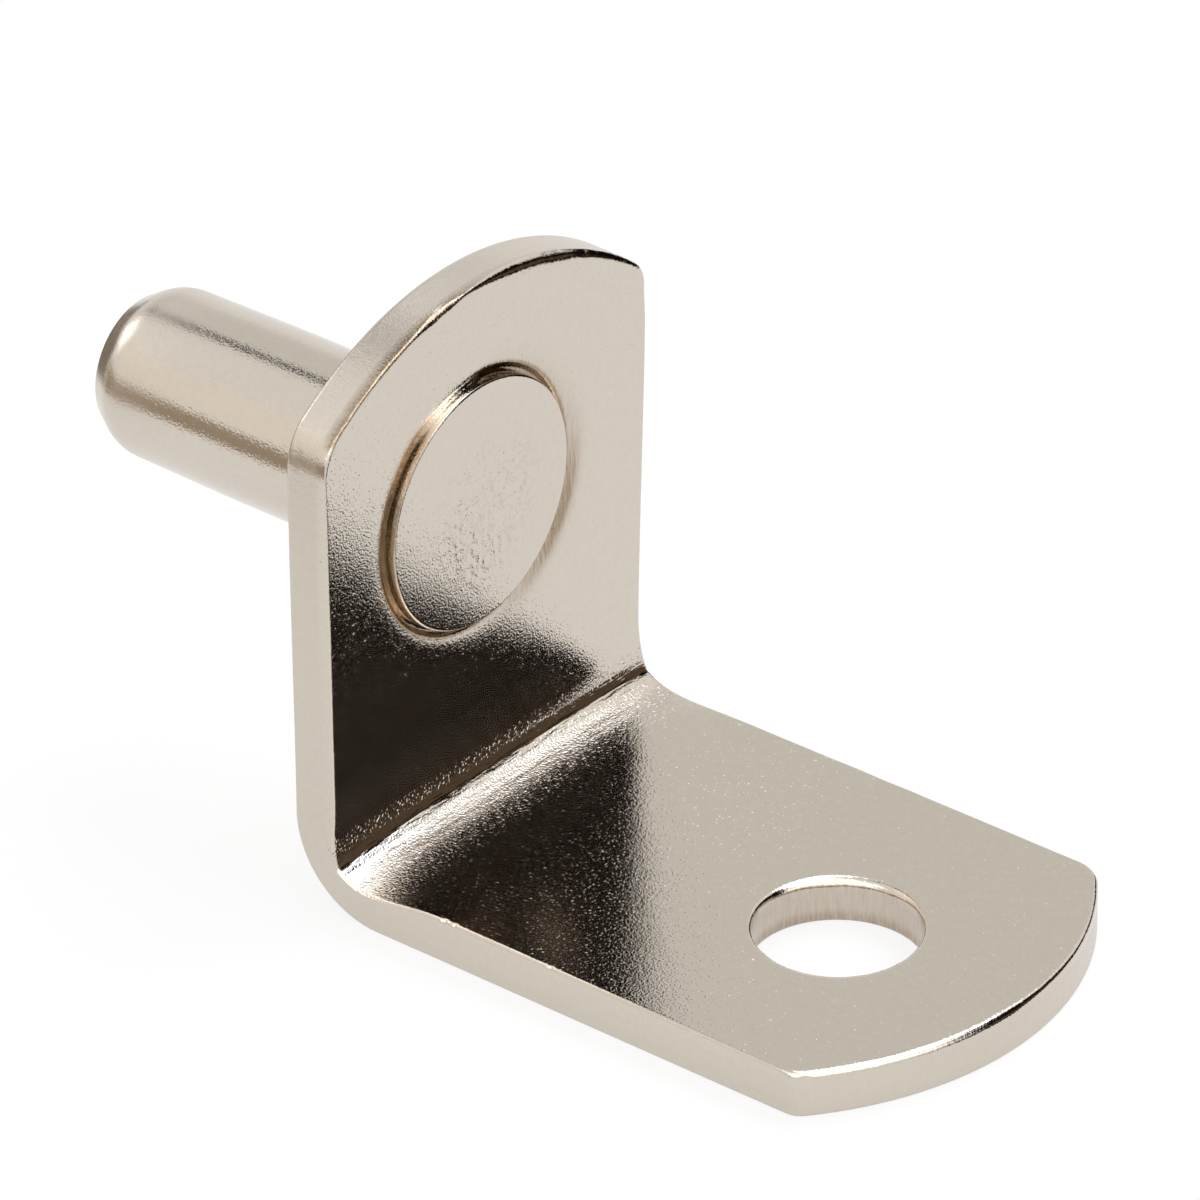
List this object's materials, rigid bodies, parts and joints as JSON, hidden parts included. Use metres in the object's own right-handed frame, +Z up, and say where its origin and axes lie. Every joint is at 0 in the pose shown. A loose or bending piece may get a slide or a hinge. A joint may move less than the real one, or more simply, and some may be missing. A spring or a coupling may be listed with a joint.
{
  "type": "shelf support pin",
  "caption": "Folded steel angle that carries a shelf on its leg, with a riveted round pin for a cabinet hole and a screw hole in the leg.",
  "frame": {"origin": "on the pin's axis at the back face of the upright, which lies on the cabinet's side", "axes": "+X out from the cabinet's side along the shelf leg, +Z up, the pin points along -X, and the shelf rests on the leg's +Z face"},
  "size_m": [0.0302, 0.0136, 0.0169],
  "materials": {
    "plated_sheet": "satin nickel plating over punched and folded sheet steel",
    "plated_pin": "satin nickel plating over turned steel"
  },
  "bodies": {
    "root": {"bracket": "plated_sheet", "support_pin": "plated_pin"}
  },
  "joints": []
}
